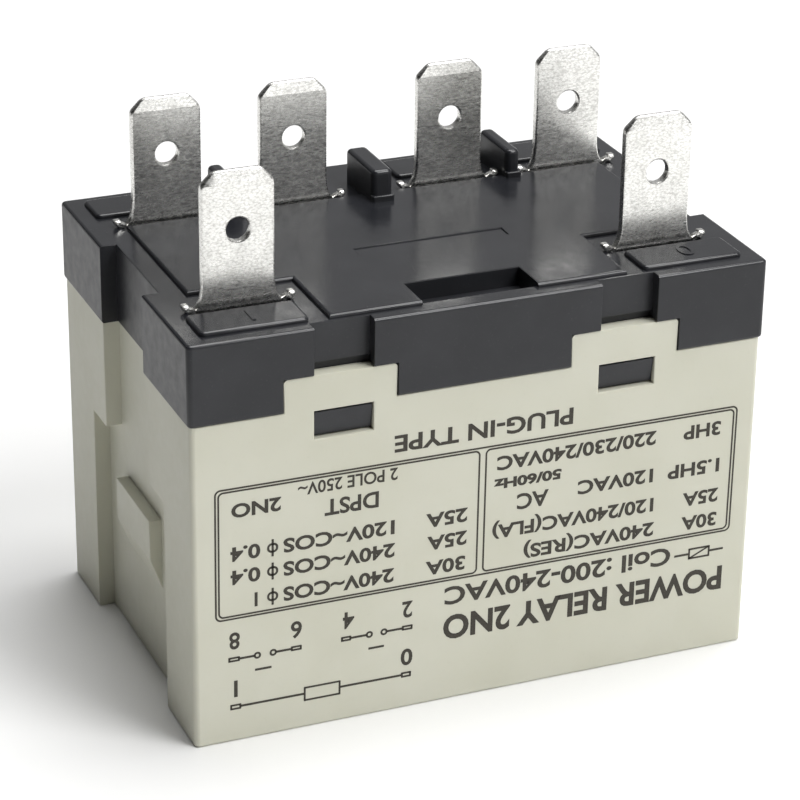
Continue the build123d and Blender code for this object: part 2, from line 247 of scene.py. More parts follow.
class Finish:
    # a Principled material and short ways to add nodes to it

    def __init__(self, name, colour, rough, metal=0.0):
        self.material = bpy.data.materials.new(name)
        self.material.use_nodes = True
        self.tree = self.material.node_tree
        self.shader = self.tree.nodes["Principled BSDF"]
        self.shader.inputs["Base Color"].default_value = (*colour, 1)
        self.shader.inputs["Roughness"].default_value = rough
        self.shader.inputs["Metallic"].default_value = metal
        self.spot = self.tree.nodes.new("ShaderNodeTexCoord").outputs["Object"]
        self.bump = None

    def node(self, kind, **inputs):
        made = self.tree.nodes.new("ShaderNode" + kind)
        for name, value in inputs.items():
            self.feed(made.inputs[name.replace("_", " ")], value)
        return made

    def feed(self, socket, value):
        if isinstance(value, bpy.types.NodeSocket):
            self.tree.links.new(value, socket)
        else:
            socket.default_value = value

    def stretched(self, scale, turn=(0, 0, 0)):
        return self.node("Mapping", Vector=self.spot, Scale=scale, Rotation=turn).outputs["Vector"]

    def noise(self, size, detail=3.0, rough=0.55, vector=None, distortion=0.0):
        # size is the width of one blotch in millimetres
        made = self.node("TexNoise", Scale=1 / (size * mm), Detail=detail, Roughness=rough,
                         Vector=vector or self.spot, Distortion=distortion)
        return made.outputs["Fac"]

    def cells(self, size, vector=None):
        made = self.node("TexVoronoi", Scale=1 / (size * mm), Vector=vector or self.spot)
        return made.outputs["Distance"]

    def ramp(self, value, low, high, out=(0.0, 1.0)):
        made = self.node("MapRange", Value=value)
        for name, number in zip(("From Min", "From Max", "To Min", "To Max"), (low, high, *out)):
            made.inputs[name].default_value = number
        return made.outputs["Result"]

    def math(self, how, a, b):
        made = self.tree.nodes.new("ShaderNodeMath")
        made.operation = how
        self.feed(made.inputs[0], a)
        self.feed(made.inputs[1], b)
        return made.outputs[0]

    def blend(self, share, a, b, how="MIX"):
        made = self.tree.nodes.new("ShaderNodeMix")
        made.data_type = "RGBA"
        made.blend_type = how
        self.feed(made.inputs["Factor"], share)
        for name, value in (("A", a), ("B", b)):
            socket = [s for s in made.inputs if s.name == name and s.type == "RGBA"][0]
            self.feed(socket, value if isinstance(value, bpy.types.NodeSocket) else (*value, 1))
        return [s for s in made.outputs if s.type == "RGBA"][0]

    def addBump(self, height, microns, strength=1.0):
        made = self.node("Bump", Height=height, Strength=strength, Distance=microns * 1e-6)
        if self.bump:
            self.tree.links.new(self.bump, made.inputs["Normal"])
        self.bump = made.outputs["Normal"]
        self.tree.links.new(self.bump, self.shader.inputs["Normal"])

    def set(self, name, value):
        self.feed(self.shader.inputs[name], value)


caseFinish = {
    "colour": (0.60, 0.595, 0.50),       # cream moulded thermoplastic
    "tint": (0.57, 0.565, 0.465),
    "fleck": (0.42, 0.40, 0.32),
    "scuff": (0.70, 0.69, 0.62),
    "rough": (0.42, 0.56),
}
baseFinish = {
    "colour": (0.014, 0.0147, 0.0175),   # black glass filled thermoplastic
    "bloom": (0.026, 0.027, 0.031),
    "dust": (0.11, 0.11, 0.115),
    "textured": (0.36, 0.50),            # roughness of the sides and of the top
    "polished": (0.17, 0.30),
    "texturedGrain": 3.5,                # microns
    "polishedGrain": 0.8,
}
tabFinish = {
    "colour": (0.86, 0.855, 0.825),      # hot tinned brass
    "dull": (0.74, 0.735, 0.71),
    "pit": (0.34, 0.33, 0.31),
    "rough": (0.17, 0.36),
    "wave": 4,                           # heights of the surface texture, microns
    "grain": 3.0,
}
inkFinish = {"colour": (0.030, 0.025, 0.017), "worn": (0.12, 0.11, 0.085), "rough": 0.6}


def makeCasePlastic(values):
    f = Finish("cream case plastic", values["colour"], 0.5)
    cloud = f.noise(9.0, detail=2.0)
    fleck = f.ramp(f.noise(0.35, detail=4.0), 0.60, 0.78)
    tone = f.blend(f.ramp(cloud, 0.35, 0.68), values["colour"], values["tint"])
    tone = f.blend(f.math("MULTIPLY", fleck, 0.10), tone, values["fleck"])
    scuff = f.ramp(f.noise(2.4, detail=5.0, vector=f.stretched((1, 1, 0.3))), 0.62, 0.80)
    tone = f.blend(f.math("MULTIPLY", scuff, 0.12), tone, values["scuff"])
    f.set("Base Color", tone)
    f.set("Roughness", f.ramp(f.noise(0.9, detail=4.0), 0.3, 0.7, values["rough"]))
    f.set("Subsurface Weight", 0.06)
    f.set("Subsurface Radius", (0.0012, 0.0010, 0.0007))
    f.set("Subsurface Scale", 1.0)
    f.addBump(f.noise(7.0, detail=1.0), 30, 0.6)
    f.addBump(f.noise(0.16, detail=3.0), 3.0, 0.55)
    return f.material


def makeBasePlastic(name, values, rough, grain):
    f = Finish(name, values["colour"], 0.4)
    dust = f.ramp(f.noise(0.22, detail=5.0, rough=0.7), 0.60, 0.74)
    haze = f.ramp(f.noise(5.5, detail=3.0), 0.42, 0.72)
    tone = f.blend(f.math("MULTIPLY", haze, 0.5), values["colour"], values["bloom"])
    tone = f.blend(f.math("MULTIPLY", dust, 0.22), tone, values["dust"])
    f.set("Base Color", tone)
    cloud = f.math("MULTIPLY", f.noise(1.1, detail=4.0), 0.6)
    spread = f.math("ADD", cloud, f.math("MULTIPLY", dust, 0.25))
    f.set("Roughness", f.ramp(spread, 0.2, 0.55, rough))
    f.set("Specular IOR Level", 0.42)
    f.addBump(f.noise(4.0, detail=1.0), 3, 0.5)
    f.addBump(f.noise(0.13, detail=3.0), grain, 0.6)
    return f.material


def makeMetal(name, values, lines=(0.35, 1.0, 1.7)):
    f = Finish(name, values["colour"], 0.3, metal=1.0)
    drawn = f.noise(0.26, detail=5.0, rough=0.66, vector=f.stretched(lines))
    pits = f.cells(0.19, f.stretched((0.7, 1.0, 1.25)))
    patch = f.noise(2.2, detail=4.0)
    tone = f.blend(f.ramp(patch, 0.40, 0.70), values["colour"], values["dull"])
    tone = f.blend(f.math("MULTIPLY", f.ramp(pits, 0.42, 0.75), 0.45), tone, values["pit"])
    f.set("Base Color", tone)
    f.set("Roughness", f.ramp(drawn, 0.32, 0.68, values["rough"]))
    f.addBump(f.noise(1.8, detail=2.0), values["wave"], 0.5)
    f.addBump(drawn, values["grain"], 0.8)
    f.addBump(pits, values["grain"] * 0.5, 0.3)
    return f.material


def makeMoulded(name, values):
    f = Finish(name, values["colour"], 0.5)
    tone = f.blend(f.ramp(f.noise(3.5, detail=3.0), 0.38, 0.66), values["colour"], values["tint"])
    speck = f.ramp(f.noise(0.25, detail=4.0), 0.62, 0.76)
    tone = f.blend(f.math("MULTIPLY", speck, 0.2), tone, values["speck"])
    f.set("Base Color", tone)
    f.set("Roughness", f.ramp(f.noise(0.8, detail=4.0), 0.3, 0.7, values["rough"]))
    f.addBump(f.noise(3.0, detail=1.0), 10, 0.5)
    f.addBump(f.noise(0.15, detail=3.0), 2.5, 0.5)
    return f.material


def makeWound(name, values):
    # wire laid in turns along X, or a sleeve woven from threads
    f = Finish(name, values["colour"], 0.35, metal=values["metal"])
    turns = f.node("TexWave", Scale=0.314 / (values["pitch"] * mm), Distortion=values["wander"],
                   Detail=2.0, Detail_Scale=1.5, Vector=f.stretched((1, 1, 1), values["turn"]))
    turns.bands_direction = "X"
    ridge = turns.outputs["Fac"]
    # the creases between turns are painted darker: painted shade where the turns meet, laid over
    # the bump that gives their relief
    tone = f.blend(ridge, values["groove"], values["colour"])
    patch = f.ramp(f.noise(1.4, detail=4.0), 0.45, 0.75)
    tone = f.blend(f.math("MULTIPLY", patch, 0.4), tone, values["tint"])
    f.set("Base Color", tone)
    f.set("Roughness", f.ramp(f.noise(0.6, detail=3.0), 0.3, 0.7, values["rough"]))
    f.addBump(ridge, values["height"], 0.9)
    f.addBump(f.noise(0.3, detail=3.0), 4, 0.4)
    return f.material


def makeInk(values):
    f = Finish("label ink", values["colour"], values["rough"])
    wear = f.ramp(f.noise(0.12, detail=4.0), 0.50, 0.72)
    tone = f.blend(f.math("MULTIPLY", wear, 0.3), values["colour"], values["worn"])
    f.set("Base Color", tone)
    f.addBump(f.noise(0.08), 1.5, 0.5)
    return f.material


casePlastic = makeCasePlastic(caseFinish)
baseTextured = makeBasePlastic("black base, fine grain", baseFinish, baseFinish["textured"],
                               baseFinish["texturedGrain"])
basePolished = makeBasePlastic("black base, polished top", baseFinish, baseFinish["polished"],
                               baseFinish["polishedGrain"])
tinned = makeMetal("tinned tab", tabFinish)
ink = makeInk(inkFinish)


print("case")
caseShape = {
    "rim": 30.2,                     # height of the closed walls
    "wall": 1.5,
    "corner": 0.45,                  # radii of the uprights, the foot and every other edge
    "foot": 0.22,
    "crisp": 0.11,
    "channelDepth": 1.48,            # bracket channel in each end
    "channelHalf": (9.9, 6.1),       # below and above its shoulders
    "shoulder": 20.05,
    "catchHalf": 4.65,
    "catchOut": 1.13,
    "catchHeights": (8.8, 11.8, 15.65),     # foot of the slope, its head, and the ledge
    "tongueX": (-13.05, 13.05),
    "tongueHalf": 5.05,
    "tongueThick": 1.3,
    "tongueCorner": 0.4,
    "windowHalf": 2.65,
    "windowShift": 0.3,              # the windows sit a little to the right of the tongues
    "windowHeights": (27.4, 29.95),
}


def makeCase(s):
    halfX, halfY = caseHigh.x, caseHigh.y
    rim, wall = s["rim"], s["wall"]
    deep = halfX - s["channelDepth"]
    wide, narrow = s["channelHalf"]
    shell = roundUprights(midBlock(0, halfX, 0, halfY, (0, rim)), s["corner"])
    shell = roundOff(shell, [e for e in shell.edges if middleOf(e).z < near], s["foot"], 3)
    inside = (wall, rim + past)
    hollows = [midBlock(0, deep - wall, 0, halfY - wall, inside)]
    for y in ((wide + wall, halfY - wall), (wall - halfY, -wide - wall)):
        hollows.append(block((wall - halfX, halfX - wall), y, inside))
    for side in (-1, 1):
        x = sorted((side * (halfX + past), side * deep))
        hollows.append(block(x, (-wide, wide), (-past, s["shoulder"])))
        hollows.append(block(x, (-narrow, narrow), (s["shoulder"] - past, rim + past)))
    shell = combine(shell, hollows, "DIFFERENCE")
    shell = combine(shell, caseAdditions(s, deep, halfY), "UNION")
    windows = []
    for x in s["tongueX"]:
        for side in (-1, 1):
            y = sorted((side * (halfY + past), side * (halfY - wall - past)))
            across = around(x + s["windowShift"], s["windowHalf"])
            windows.append(block(across, y, s["windowHeights"]))
    shell = combine(shell, windows, "DIFFERENCE")
    return breakEdges(shell, s["crisp"])


def caseAdditions(s, deep, halfY):
    # the catches in the channels, and the snap tongues
    foot, head, ledge = s["catchHeights"]
    out = deep + s["catchOut"]
    added = []
    for side in (-1, 1):
        wedge = [(deep - bite, foot), (deep, foot), (out, head), (out, ledge), (deep - bite, ledge)]
        wedge = [(side * x, z) for x, z in wedge]
        added.append(plate(wedge, "y", (-s["catchHalf"], s["catchHalf"])))
        for x in s["tongueX"]:
            y = sorted((side * halfY, side * (halfY - s["tongueThick"])))
            tongue = block(around(x, s["tongueHalf"]), y, (s["rim"] - past, caseHigh.z))
            corners = [e for e in tongue.edges if runsAlong(e, "y") and middleOf(e).z > s["rim"]]
            added.append(roundOff(tongue, corners, s["tongueCorner"], 5))
    return added


casePiece = makePiece("case_body", makeCase(caseShape), [casePlastic], "root")
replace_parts(casePiece, "case")


print("terminal base")
baseShape = {
    "low": 30.2,                     # underside of the visible block
    "top": 37.5,
    "corner": 0.45,                  # radii of the uprights, rims, channel lips and other edges
    "edge": 0.28,
    "lip": 0.42,
    "crisp": 0.09,
    "channelHalf": 5.8,
    "channelDepth": 1.48,
    "skirtLow": 25.7,
    "plug": (23.17, 15.75),          # half size of the part inside the case
    "hollow": (21.9, 14.3),
    "roofUnder": 35.2,
    "reliefX": (-2.4, 2.9),          # relief over each tongue, from the tongue's middle
    "reliefDepth": 1.1,
    "reliefLow": 33.9,
    "seat": 16.0,                    # the tongues lie against this plane
    "slack": 0.05,                   # room left around each tongue
    "lugHalf": 2.6,
    "lugHeights": (27.5, 29.8),
    "lugReach": (16.85, 17.22),
    "lugEdge": 0.12,
    "rise": 0.35,                    # how far the plateau and the number pads stand up
    "plateau": ((-23.0, 23.0), (-7.4, 8.85)),
    "apron": ((-13.6, 13.6), (-16.1, -6.9)),
    "plateauEdge": 0.28,
    "pocket": ((-5.3, 5.3), (-15.7, -12.0)),
    "pocketLow": 36.1,
    "blankPlate": ((-6.4, 7.6), (-4.85, -3.2)),
    "blankDepth": 0.12,
    "padX": 20.0,
    "padHalf": (4.75, 2.1),
    "padY": (-13.9, 14.0),
    "padEdges": (0.5, 0.26),         # radii of the corners and of the rim
    "innerPad": (7.55, 3.6),         # place and half width of the two middle pads
    "ribs": ((0.35, 1.0, (6.6, 13.2), 40.7), (-13.0, 0.68, (8.0, 14.3), 40.4),
             (13.8, 0.68, (8.0, 14.3), 40.4)),
    "ribEdges": (0.5, 0.4),
    "ribFoot": (0.05, 0.35, 0.9),    # how far the foot stands out, its half depth and height
    "slotHalf": (3.89, 0.44),        # slot for a tab, and the shallow recess around it
    "recessHalf": (4.5, 0.72),
    "recessDepth": 0.35,
    "guideX": 3.9,                   # walls that guide the moving contacts
    "guideHalf": 0.4,
    "guideY": (-4.5, 7.5),
    "guideLow": 28.2,
    "legSpot": (-13.475, 6.2),       # legs that press on the magnet frame
    "legRadius": 1.2,
    "lane": 1.5,                     # Y of the row of contacts
}
slotY = {"contact_terminal": 9.7, "coil_terminal": -10.5}
slotSpots = [(node, slotY[node[:-2]]) for node in (
    "contact_terminal_8", "contact_terminal_6", "contact_terminal_4", "contact_terminal_2",
    "coil_terminal_1", "coil_terminal_0")]


def tabCentre(node):
    low, high = mmBox(node)
    return (low.x + high.x) / 2


def makeBaseBlock(s):
    halfX, halfY = baseHigh.x, baseHigh.y
    body = midBlock(0, halfX, 0, halfY, (s["low"], s["top"]))
    body = roundUprights(body, s["corner"], 5)
    rims = [e for e in body.edges
            if min(abs(middleOf(e).z - s["low"]), abs(middleOf(e).z - s["top"])) < near]
    body = roundOff(body, rims, s["edge"], 3)
    plug = midBlock(0, s["plug"][0], 0, s["plug"][1], (s["skirtLow"], s["low"] + bite))
    body = combine(body, [plug], "UNION")
    cuts = [midBlock(0, s["hollow"][0], 0, s["hollow"][1], (s["skirtLow"] - past, s["roofUnder"]))]
    for side in (-1, 1):
        x = sorted((side * (halfX + past), side * (halfX - s["channelDepth"])))
        cuts.append(block(x, around(0, s["channelHalf"]), (s["low"] - past, s["top"] + past)))
        for tongueX in caseShape["tongueX"]:
            cuts += tongueCuts(s, side, tongueX, halfY)
    body = combine(body, cuts, "DIFFERENCE")
    lips = [e for e in body.edges if runsAlong(e, "z") and abs(middleOf(e).x) > halfX - 0.05
            and abs(abs(middleOf(e).y) - s["channelHalf"]) < 0.01]
    return roundOff(body, lips, s["lip"], 5)


def tongueCuts(s, side, x, halfY):
    # the seat that a tongue snaps into, and the narrower relief above it
    outer = halfY + past
    seat = sorted((side * outer, side * s["seat"]))
    relief = sorted((x - side * s["reliefX"][1], x - side * s["reliefX"][0]))
    shallow = sorted((side * outer, side * (halfY - s["reliefDepth"])))
    across = around(x, caseShape["tongueHalf"] + s["slack"])
    return [block(across, seat, (s["low"] - bite, caseHigh.z + s["slack"])),
            block(relief, seat, (s["low"] - bite, s["reliefLow"])),
            block(relief, shallow, (s["reliefLow"] - bite, s["top"] + past))]


def raisedParts(s):
    # plateau with its apron, number pads, and barrier ribs
    low, high = s["top"] - bite, s["top"] + s["rise"]
    (x0, x1), (y0, y1) = s["plateau"]
    (a0, a1), (b0, _) = s["apron"]
    outline = [(x0, y0), (a0, y0), (a0, b0), (a1, b0), (a1, y0), (x1, y0), (x1, y1), (x0, y1)]
    parts = [roundTop(plate(outline, "z", (low, high)), s["plateauEdge"], 4)]
    wide, deep = s["padHalf"]
    pads = [(x, wide, y) for x in (-s["padX"], s["padX"]) for y in s["padY"]]
    pads += [(x, s["innerPad"][1], s["padY"][1]) for x in (-s["innerPad"][0], s["innerPad"][0])]
    for x, half, y in pads:
        parts.append(padBlock(x, half, y, deep, (low, high), *s["padEdges"]))
    corner, rim = s["ribEdges"]
    out, footHalf, footHigh = s["ribFoot"]
    for x, half, y, top in s["ribs"]:
        rib = roundUprights(block(around(x, half), y, (low, top)), corner, 5)
        parts.append(roundTop(rib, rim, 4))
        foot = midBlock(x, half + out, y[0], footHalf, (low, s["top"] + footHigh))
        parts.append(roundTop(roundUprights(foot, 0.18, 3), 0.1, 3))
    return parts


def hiddenParts(s):
    # snap lugs, guide walls and legs
    parts = []
    low, high = s["lugHeights"]
    root = s["plug"][1] - bite
    for side in (-1, 1):
        outline = [(root, low), (s["lugReach"][0], low), (s["lugReach"][1], high), (root, high)]
        for x in caseShape["tongueX"]:
            across = around(x + caseShape["windowShift"], s["lugHalf"])
            lug = plate([(side * y, z) for y, z in outline], "x", across)
            longEdges = [e for e in lug.edges if runsAlong(e, "x")]
            parts.append(roundOff(lug, longEdges, s["lugEdge"], 2))
        roof = s["roofUnder"] + bite
        guideX = around(side * s["guideX"], s["guideHalf"])
        parts.append(block(guideX, s["guideY"], (s["guideLow"], roof)))
        spot = (s["legSpot"][0], s["lane"] + side * s["legSpot"][1])
        parts.append(rod("z", s["legRadius"], spot, (baseLow.z, roof)))
    return parts


def topCuts(s):
    # pry pocket, blank plate, and a slot with its recess for each tab
    high = s["top"] + past
    x, y = s["pocket"]
    cuts = [block(x, y, (s["pocketLow"], high)),
            block(x, (s["apron"][1][0] - bite, y[1]), (s["top"], high))]
    x, y = s["blankPlate"]
    cuts.append(block(x, y, (s["top"] + s["rise"] - s["blankDepth"], high)))
    for node, y in slotSpots:
        x = tabCentre(node)
        for (halfX, halfY), low in ((s["slotHalf"], s["roofUnder"] - past),
                                    (s["recessHalf"], s["top"] - s["recessDepth"])):
            cuts.append(midBlock(x, halfX, y, halfY, (low, high)))
    return cuts


def makeBase(s):
    body = combine(makeBaseBlock(s), raisedParts(s) + hiddenParts(s), "UNION")
    body = combine(body, topCuts(s), "DIFFERENCE")
    body = breakEdges(body, s["crisp"], shortest=0.7)
    for face in body.faces:
        if face.normal.z > 0.5 and face.calc_center_median().z > s["top"] - bite:
            face.material_index = 1      # only the top is polished
    return body


basePiece = makePiece("terminal_base_body", makeBase(baseShape), [baseTextured, basePolished],
                      "root")
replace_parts(basePiece, "terminal_base")


print("quick connect tabs")
tabShape = {
    "half": 3.175,
    "thick": 0.8,
    "stemHalf": 3.85,
    "flare": (37.6, 38.15, 39.3),    # heights where the stem narrows to the blade
    "flareOut": 0.22,
    "bend": 0.4,
    "shoulder": 0.35,
    "tipHalf": 2.1,
    "tipBevel": 1.15,                # height of the coined tip, and its thickness at the end
    "tipEdge": 0.34,
    "hole": 1.05,
    "holeDown": 5.2,
    "edge": 0.14,
    "root": 35.2,
    "footHalf": 1.5,                 # foot of a coil terminal
}
armShape = {"half": 2.9, "front": -1.4, "thick": 0.8, "hole": 1.5}
armSpots = {"contact_terminal_8": -18.475, "contact_terminal_6": -8.475,
            "contact_terminal_4": 8.475, "contact_terminal_2": 18.475}


def makeBlade(s, x, y, tip):
    half, stem, root = s["half"], s["stemHalf"], s["root"]
    low, mid, neck = s["flare"]
    side = [(stem, root), (stem, low), (half + s["flareOut"], mid), (half, neck),
            (half, tip - s["tipBevel"]), (s["tipHalf"], tip)]
    outline = side + [(-a, b) for a, b in reversed(side)]
    blade = plate(outline, "y", (0, s["thick"]))
    bends = [e for e in blade.edges if runsAlong(e, "y") and low < middleOf(e).z < neck + bite]
    blade = roundOff(blade, bends, s["bend"], 4)
    shoulders = [e for e in blade.edges if runsAlong(e, "y") and middleOf(e).z > tip - 2]
    blade = roundOff(blade, shoulders, s["shoulder"], 4)
    hole = rod("y", s["hole"], (0, tip - s["holeDown"]), (-past, s["thick"] + past), 48)
    blade = combine(blade, [hole], "DIFFERENCE")
    move(blade, (x, y, 0))
    return blade


def coinTip(blade, s, y, tip):
    # thins the end of the blade, so that it leads into a receptacle
    start = tip - s["tipBevel"]
    thin = 1 - s["tipEdge"] / s["thick"]
    everything = blade.verts[:] + blade.edges[:] + blade.faces[:]
    bmesh.ops.bisect_plane(blade, geom=everything, plane_co=(0, 0, start), plane_no=(0, 0, 1))
    middle = y + s["thick"] / 2
    for vert in blade.verts:
        if vert.co.z > start + 0.01:
            share = (vert.co.z - start) / s["tipBevel"]
            vert.co.y = middle + (vert.co.y - middle) * (1 - share * thin)
    return blade


earShape = {
    "section": (0.42, 0.56),
    "place": (3.92, 0.4, -0.45),     # from the tab's middle and the top of the base
    # step outwards, back and up, the turn in degrees, and the change of size
    "steps": [((0.02, -0.06, 0.40), 8, 1.05), ((0.12, -0.10, 0.20), 30, 1.05),
              ((0.26, -0.06, 0.10), 34, 1.0), ((0.24, 0.04, 0.12), -30, 1.1),
              ((0.10, 0.06, 0.20), -34, 1.15), ((0.02, 0.02, 0.12), -8, 0.62)],
    "smooth": 0.4,
}


def curledEar(s, x, y, side):
    # a sliver of the strip, sheared beside the slot and curled up when the tab was staked
    ear = bmesh.new()
    bmesh.ops.create_grid(ear, x_segments=2, y_segments=2, size=0.5)
    stretch(ear, (*s["section"], 1))
    tip, inner = ear.faces[:], []
    for step, turn, size in s["steps"]:
        verts, grown = grow(ear, tip)
        bmesh.ops.delete(ear, geom=[f for f in inner if f.is_valid], context="FACES_ONLY")
        tip = inner = grown
        bmesh.ops.translate(ear, vec=step, verts=verts)
        centre = sum((v.co for v in verts), Vector()) / len(verts)
        curl = Matrix.Rotation(math.radians(turn), 3, "Y")
        bmesh.ops.rotate(ear, cent=centre, matrix=curl, verts=verts)
        bmesh.ops.scale(ear, vec=(size, size, size), space=Matrix.Translation(-centre), verts=verts)
    bmesh.ops.subdivide_edges(ear, edges=ear.edges, cuts=1, smooth=1.0, use_grid_fill=True)
    for again in range(2):
        bmesh.ops.smooth_vert(ear, verts=ear.verts, factor=s["smooth"],
                              use_axis_x=True, use_axis_y=True, use_axis_z=True)
    if side < 0:
        stretch(ear, (-1, 1, 1))
    bmesh.ops.recalc_face_normals(ear, faces=ear.faces)
    out, back, up = s["place"]
    move(ear, (x + side * out, y + back, baseShape["top"] + up))
    return ear


def pour(source, target):
    # adds one mesh to another as a shell of its own
    mesh = bpy.data.meshes.new("pour")
    source.to_mesh(mesh)
    source.free()
    target.from_mesh(mesh)
    bpy.data.meshes.remove(mesh)
    return target


def makeTab(s, arm, node, y):
    low, high = mmBox(node)
    x, root = tabCentre(node), s["root"]
    blade = makeBlade(s, x, y, high.z)
    if node in armSpots:                 # a contact terminal has an arm with a rivet hole
        spot = armSpots[node]
        strip = block(around(spot, arm["half"]), (arm["front"], y + s["thick"]),
                      (root - arm["thick"], root + near))
        blade = combine(blade, [strip], "UNION")
        hole = rod("z", arm["hole"], (spot, baseShape["lane"]), (root - 2, root + past))
        blade = combine(blade, [hole], "DIFFERENCE")
    else:
        foot = block(around(x, s["footHalf"]), (y, y + s["thick"]), (low.z, root + near))
        blade = combine(blade, [foot], "UNION")
    blade = breakEdges(blade, s["edge"], shortest=0.08, least=42)
    blade = coinTip(blade, s, y, high.z)
    for side in (-1, 1):
        blade = pour(curledEar(earShape, x, y, side), blade)
    return blade


for node, middle in slotSpots:
    made = makeTab(tabShape, armShape, node, middle - tabShape["thick"] / 2)
    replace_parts(makePiece(node + "_tab", made, [tinned], "root"), node)


print("raised numbers")
padText = {"height": 2.3, "rise": 0.07, "sunk": 0.02, "frontShift": 0.3}
capitals = 1.38                      # size of the typeface for capitals one unit high


def flatText(words, height, weight=0.0, align="CENTER", baseline=False):
    # one line of lettering as a mesh, with its middle or its baseline at the origin
    curve = bpy.data.curves.new("words", "FONT")
    curve.body = words
    curve.size = height * capitals
    curve.offset = weight
    curve.align_x = align
    curve.align_y = "TOP_BASELINE" if baseline else "CENTER"
    curve.resolution_u = 4
    helper = bpy.data.objects.new("words", curve)
    bpy.context.scene.collection.objects.link(helper)
    bpy.context.view_layer.update()
    seen = helper.evaluated_get(bpy.context.evaluated_depsgraph_get())
    mesh = bpy.data.meshes.new_from_object(seen)
    made = bmesh.new()
    made.from_mesh(mesh)
    bpy.data.objects.remove(helper)
    bpy.data.curves.remove(curve)
    bpy.data.meshes.remove(mesh)
    bmesh.ops.remove_doubles(made, verts=made.verts, dist=0.0005)
    bmesh.ops.dissolve_limit(made, angle_limit=0.01, use_dissolve_boundaries=False,
                             verts=made.verts, edges=made.edges, delimit=set())
    return made


def thicken(made, depth):
    # carries a flat shape up by depth and closes it
    bmesh.ops.translate(made, vec=(0, 0, depth), verts=grow(made, made.faces[:], keep=True)[0])
    bmesh.ops.recalc_face_normals(made, faces=made.faces)
    return made


def makePadNumbers(s, base):
    numbers = bmesh.new()
    high = base["top"] + base["rise"] - s["sunk"]
    for node, y in slotSpots:
        front = y < 0
        padY = base["padY"][0 if front else 1]
        padX = base["padX"] if abs(tabCentre(node)) > base["padX"] / 2 else base["innerPad"][0]
        x = math.copysign(padX, tabCentre(node)) + (s["frontShift"] if front else 0)
        made = thicken(flatText(node[-1], s["height"]), s["rise"] + s["sunk"])
        turnOver(made, 0 if front else 180, "Z")
        move(made, (x, padY, high))
        numbers = pour(made, numbers)
    return numbers


makePiece("pad_numbers", makePadNumbers(padText, baseShape), [basePolished], "root")


print("label print")
labelPrint = {
    "face": caseLow.y,
    "proud": 0.012,
    "sunk": 0.006,
    "tilt": 0.33,                    # degrees, the print sits a little askew
    "line": 0.16,
    "frames": [((-24.4, 24.35), (11.72, 24.08), 0.55), ((0.08, 24.05), (11.98, 23.82), 0.5),
               ((-24.12, -0.38), (11.98, 23.82), 0.5)],
    "boxes": [((-7.35, -6.4), (2.97, 3.5)), ((-23.1, -22.1), (2.97, 3.5)),
              ((-16.4, -13.0), (2.5, 3.9)), ((-7.35, -6.35), (7.65, 8.12)),
              ((-13.0, -12.05), (7.65, 8.12)), ((-17.6, -16.6), (7.65, 8.12)),
              ((-23.25, -22.2), (7.65, 8.12)), ((20.3, 22.45), (9.5, 10.6))],
    "boxCorner": 0.06,
    "bars": [((-13.0, -7.35), 3.24), ((-22.1, -16.4), 3.24), ((-8.75, -7.35), 7.88),
             ((-12.05, -10.62), 7.88), ((-18.95, -17.6), 7.88), ((-22.2, -20.87), 7.88),
             ((-10.45, -9.0), 6.5), ((-20.85, -19.35), 6.5), ((18.9, 20.3), 10.05),
             ((22.45, 23.8), 10.05)],
    "rings": [(-9.02, 7.88), (-10.38, 7.88), (-19.2, 7.88), (-20.63, 7.88)],
    "ringSize": 0.33,
    "phases": [(-19.25, 13.3), (-19.25, 15.7), (-19.25, 17.9)],
    "phaseRing": (0.5, 0.45, 0.2),   # the letter phi: half width, half height and line of its ring
    "phaseStroke": (0.1, 0.8, 0.095),
    "slash": (-21.37, -10.05, 2.2, 25),    # middle, length and slant of the coil sign's stroke
}
# words, where they start and stop along X, their baseline, capitals' height and weight
printWords = [
    ("POWER RELAY 2NO", 23.85, -3.45, 8.2, 2.3, 0.10),
    ("Coil :200-240VAC", 18.5, -3.4, 11.05, 1.72, 0.06),
    ("AC", 6.2, 3.2, 18.95, 1.5, 0.05),
    ("50/60Hz", 7.35, 0.95, 20.72, 0.92, 0.055),
    ("DPST", -9.7, -14.6, 21.5, 1.5, 0.05),
    ("2 POLE 250V~", -8.0, -17.0, 23.45, 1.15, 0.03),
    ("2NO", -18.5, -22.9, 22.5, 1.25, 0.055),
    ("PLUG-IN TYPE", 8.25, -8.35, 26.4, 1.55, 0.055),
    ("0", -6.3, -7.4, 5.72, 1.6, 0.055),
    ("1", -22.42, -22.75, 5.75, 1.6, 0.05),
]
ratingText = (1.3, 0.055)            # height and weight of the words in the ratings
ratings = [
    ("30A", 22.9, 19.4, 13.82), ("240VAC(RES)", 16.65, 4.0, 13.88),
    ("25A", 22.9, 19.4, 16.2), ("120/240VAC(FLA)", 16.5, 0.95, 16.3),
    ("1.5HP", 22.85, 17.75, 19.15), ("120VAC", 16.3, 9.0, 19.2),
    ("3HP", 22.75, 19.1, 22.78), ("220/230/240VAC", 16.4, 1.2, 22.85),
    ("30A", -1.55, -5.25, 13.9), ("240V~COS", -8.2, -18.3, 13.9), ("1", -20.6, -20.87, 13.9),
    ("25A", -1.45, -5.15, 16.3), ("240V~COS", -8.15, -18.3, 16.3), ("0.4", -20.35, -23.0, 16.3),
    ("25A", -1.45, -5.3, 18.5), ("120V~COS", -8.2, -18.3, 18.5), ("0.4", -20.35, -23.0, 18.5),
]
digitText = (10.42, 1.6, 0.045)      # baseline, height and weight of the contact numbers
digits = [("2", -6.4, -7.35), ("4", -11.8, -12.85), ("6", -16.6, -17.6), ("8", -22.2, -23.15)]
printWords += [(*row, *ratingText) for row in ratings] + [(*row, *digitText) for row in digits]


